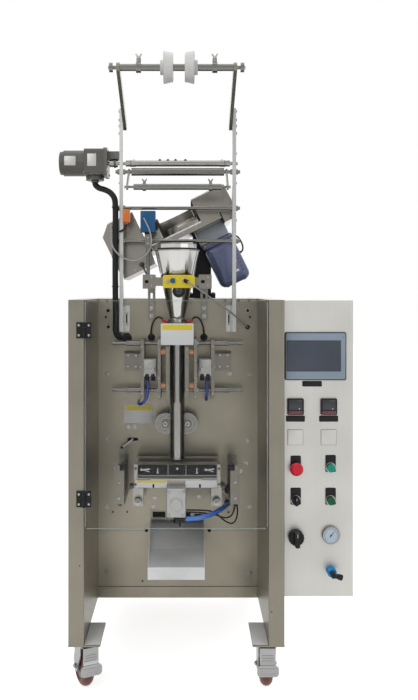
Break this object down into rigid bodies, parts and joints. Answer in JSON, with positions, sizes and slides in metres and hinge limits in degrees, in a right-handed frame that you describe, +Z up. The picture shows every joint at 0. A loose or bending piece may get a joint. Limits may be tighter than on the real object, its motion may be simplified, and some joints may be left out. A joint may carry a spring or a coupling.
{
  "type": "tablet packaging machine",
  "caption": "Upright form-fill-seal machine for tablets: stainless cabinet on casters, film reel and rollers, tilted tablet feeder, funnel, sealing bars and jaws, and a control box.",
  "frame": {"origin": "on the floor, under the middle of the machine's overall box", "axes": "+Z up, +X to the right for someone who faces the machine, +Y from the door to the back"},
  "size_m": [0.944, 0.8608, 1.97],
  "materials": {
    "cabinet_steel": "satin",
    "polished_steel": "polished",
    "machined_steel": "satin",
    "bright_aluminium": "machined",
    "feeder_steel": "satin",
    "zinc_plate": "satin",
    "wheel_tread": "satin",
    "motor_grey": "satin",
    "feeder_motor_blue": "satin",
    "black_steel": "satin",
    "black_plastic": "satin",
    "cable_black": "satin",
    "cable_grey": "satin",
    "air_hose_blue": "gloss",
    "white_plastic": "satin",
    "red_plastic": "gloss",
    "green_plastic": "gloss",
    "blue_plastic": "satin",
    "orange_plastic": "satin",
    "yellow_plastic": "satin",
    "clear_sheet": "clear"
  },
  "bodies": {
    "root": {"left_side_panel": "cabinet_steel", "right_side_panel": "cabinet_steel", "mounting_panel": "cabinet_steel", "rear_cover": "cabinet_steel", "control_box": "cabinet_steel", "panel_fittings": "black_plastic", "air_valve": "blue_plastic", "rear_caster_forks": "zinc_plate", "rear_caster_wheels": "wheel_tread", "film_frame": "machined_steel", "cross_rods": "polished_steel", "reel_arms": "machined_steel", "film_motor": "motor_grey", "forming_tube": "polished_steel", "funnel": "polished_steel", "funnel_brackets": "machined_steel", "drop_sensor": "yellow_plastic", "guide_rods": "polished_steel", "seal_plates": "machined_steel", "seal_cylinders": "bright_aluminium", "jaw_rails": "machined_steel", "jaw_rods": "polished_steel", "discharge_chute": "machined_steel", "post_hinges": "black_steel", "feeder_base": "feeder_steel", "feeder_bowl": "feeder_steel", "feeder_hopper": "feeder_steel", "feeder_motor": "feeder_motor_blue", "feeder_column": "black_steel", "limit_switch": "orange_plastic", "mark_sensor": "blue_plastic", "black_cables": "cable_black", "sensor_leads": "cable_grey", "air_tubes": "air_hose_blue"},
    "door": {"door_sheet": "clear_sheet", "door_hinges": "black_steel"},
    "stop_button": {"stop_button": "red_plastic"},
    "start_button": {"start_button": "green_plastic"},
    "reset_button": {"reset_button": "green_plastic"},
    "selector_knob": {"selector_knob": "black_plastic"},
    "main_switch": {"main_switch": "black_plastic"},
    "left_caster_fork": {"left_caster_fork": "zinc_plate"},
    "left_caster_wheel": {"left_caster_wheel": "wheel_tread"},
    "right_caster_fork": {"right_caster_fork": "zinc_plate"},
    "right_caster_wheel": {"right_caster_wheel": "wheel_tread"},
    "reel": {"reel_shaft": "polished_steel", "reel_cones": "white_plastic"},
    "driven_roller": {"driven_roller": "polished_steel"},
    "idle_roller": {"idle_roller": "polished_steel"},
    "dancer": {"dancer_arms": "machined_steel"},
    "dancer_roller": {"dancer_roller": "polished_steel"},
    "left_seal": {"left_seal_bar": "machined_steel"},
    "right_seal": {"right_seal_bar": "machined_steel"},
    "left_pull_wheel": {"left_pull_wheel": "bright_aluminium"},
    "right_pull_wheel": {"right_pull_wheel": "bright_aluminium"},
    "front_jaw": {"front_jaw": "machined_steel", "knife_cylinder": "bright_aluminium", "jaw_leads": "air_hose_blue"},
    "rear_jaw": {"rear_jaw": "machined_steel"},
    "feeder_disc": {"feeder_disc": "feeder_steel"}
  },
  "joints": [
    {"name": "door_hinge", "type": "hinge", "parent": "root", "child": "door", "pos_m": [-0.345, -0.4244, 0.856], "axis": [0, 0, -1], "range_deg": [0, 170]},
    {"name": "stop_button_push", "type": "slide", "parent": "root", "child": "stop_button", "axis": [0, 1, 0], "range_m": [0, 0.003], "stiffness_N_per_m": 400},
    {"name": "start_button_push", "type": "slide", "parent": "root", "child": "start_button", "axis": [0, 1, 0], "range_m": [0, 0.003], "stiffness_N_per_m": 400},
    {"name": "reset_button_push", "type": "slide", "parent": "root", "child": "reset_button", "axis": [0, 1, 0], "range_m": [0, 0.003], "stiffness_N_per_m": 400},
    {"name": "selector_turn", "type": "hinge", "parent": "root", "child": "selector_knob", "pos_m": [0.296, -0.3781, 0.588], "axis": [0, 1, 0], "range_deg": [-45, 45]},
    {"name": "main_switch_turn", "type": "hinge", "parent": "root", "child": "main_switch", "pos_m": [0.296, -0.3781, 0.477], "axis": [0, 1, 0], "range_deg": [0, 90]},
    {"name": "left_caster_swivel", "type": "hinge", "parent": "root", "child": "left_caster_fork", "pos_m": [-0.345, -0.3541, 0.1], "axis": [0, 0, 1], "continuous": true},
    {"name": "left_caster_roll", "type": "hinge", "parent": "left_caster_fork", "child": "left_caster_wheel", "pos_m": [-0.35768, -0.32691, 0.0625], "axis": [0.9063, 0.4226, 0], "continuous": true},
    {"name": "right_caster_swivel", "type": "hinge", "parent": "root", "child": "right_caster_fork", "pos_m": [0.209, -0.3541, 0.1], "axis": [0, 0, 1], "continuous": true},
    {"name": "right_caster_roll", "type": "hinge", "parent": "right_caster_fork", "child": "right_caster_wheel", "pos_m": [0.209, -0.3241, 0.0625], "axis": [1, 0, 0], "continuous": true},
    {"name": "reel_spin", "type": "hinge", "parent": "root", "child": "reel", "pos_m": [-0.068, -0.3431, 1.92], "axis": [1, 0, 0], "continuous": true},
    {"name": "driven_roller_spin", "type": "hinge", "parent": "root", "child": "driven_roller", "pos_m": [-0.068, -0.0911, 1.666], "axis": [1, 0, 0], "continuous": true},
    {"name": "idle_roller_spin", "type": "hinge", "parent": "root", "child": "idle_roller", "pos_m": [-0.068, -0.0981, 1.636], "axis": [1, 0, 0], "continuous": true},
    {"name": "dancer_swing", "type": "hinge", "parent": "root", "child": "dancer", "pos_m": [-0.068, -0.0981, 1.636], "axis": [1, 0, 0], "range_deg": [-40, 0]},
    {"name": "dancer_roller_spin", "type": "hinge", "parent": "dancer", "child": "dancer_roller", "pos_m": [-0.068, -0.1781, 1.573], "axis": [1, 0, 0], "continuous": true},
    {"name": "left_seal_slide", "type": "slide", "parent": "root", "child": "left_seal", "axis": [1, 0, 0], "range_m": [0, 0.0245]},
    {"name": "right_seal_slide", "type": "slide", "parent": "root", "child": "right_seal", "axis": [-1, 0, 0], "range_m": [0, 0.0245]},
    {"name": "left_pull_wheel_spin", "type": "hinge", "parent": "root", "child": "left_pull_wheel", "pos_m": [-0.10975, -0.1261, 0.776], "axis": [0, 1, 0], "continuous": true},
    {"name": "right_pull_wheel_spin", "type": "hinge", "parent": "root", "child": "right_pull_wheel", "pos_m": [-0.03525, -0.1261, 0.776], "axis": [0, 1, 0], "continuous": true},
    {"name": "front_jaw_slide", "type": "slide", "parent": "root", "child": "front_jaw", "axis": [0, 1, 0], "range_m": [0, 0.024]},
    {"name": "rear_jaw_slide", "type": "slide", "parent": "root", "child": "rear_jaw", "axis": [0, -1, 0], "range_m": [0, 0.024]},
    {"name": "feeder_disc_spin", "type": "hinge", "parent": "root", "child": "feeder_disc", "pos_m": [-0.04114, 0.1019, 1.44759], "axis": [-0.4384, 0, 0.8988], "continuous": true}
  ],
  "couplings": [
    {"joint": "right_seal_slide", "follows": "left_seal_slide", "ratio": 1},
    {"joint": "right_pull_wheel_spin", "follows": "left_pull_wheel_spin", "ratio": -1},
    {"joint": "rear_jaw_slide", "follows": "front_jaw_slide", "ratio": 1}
  ]
}
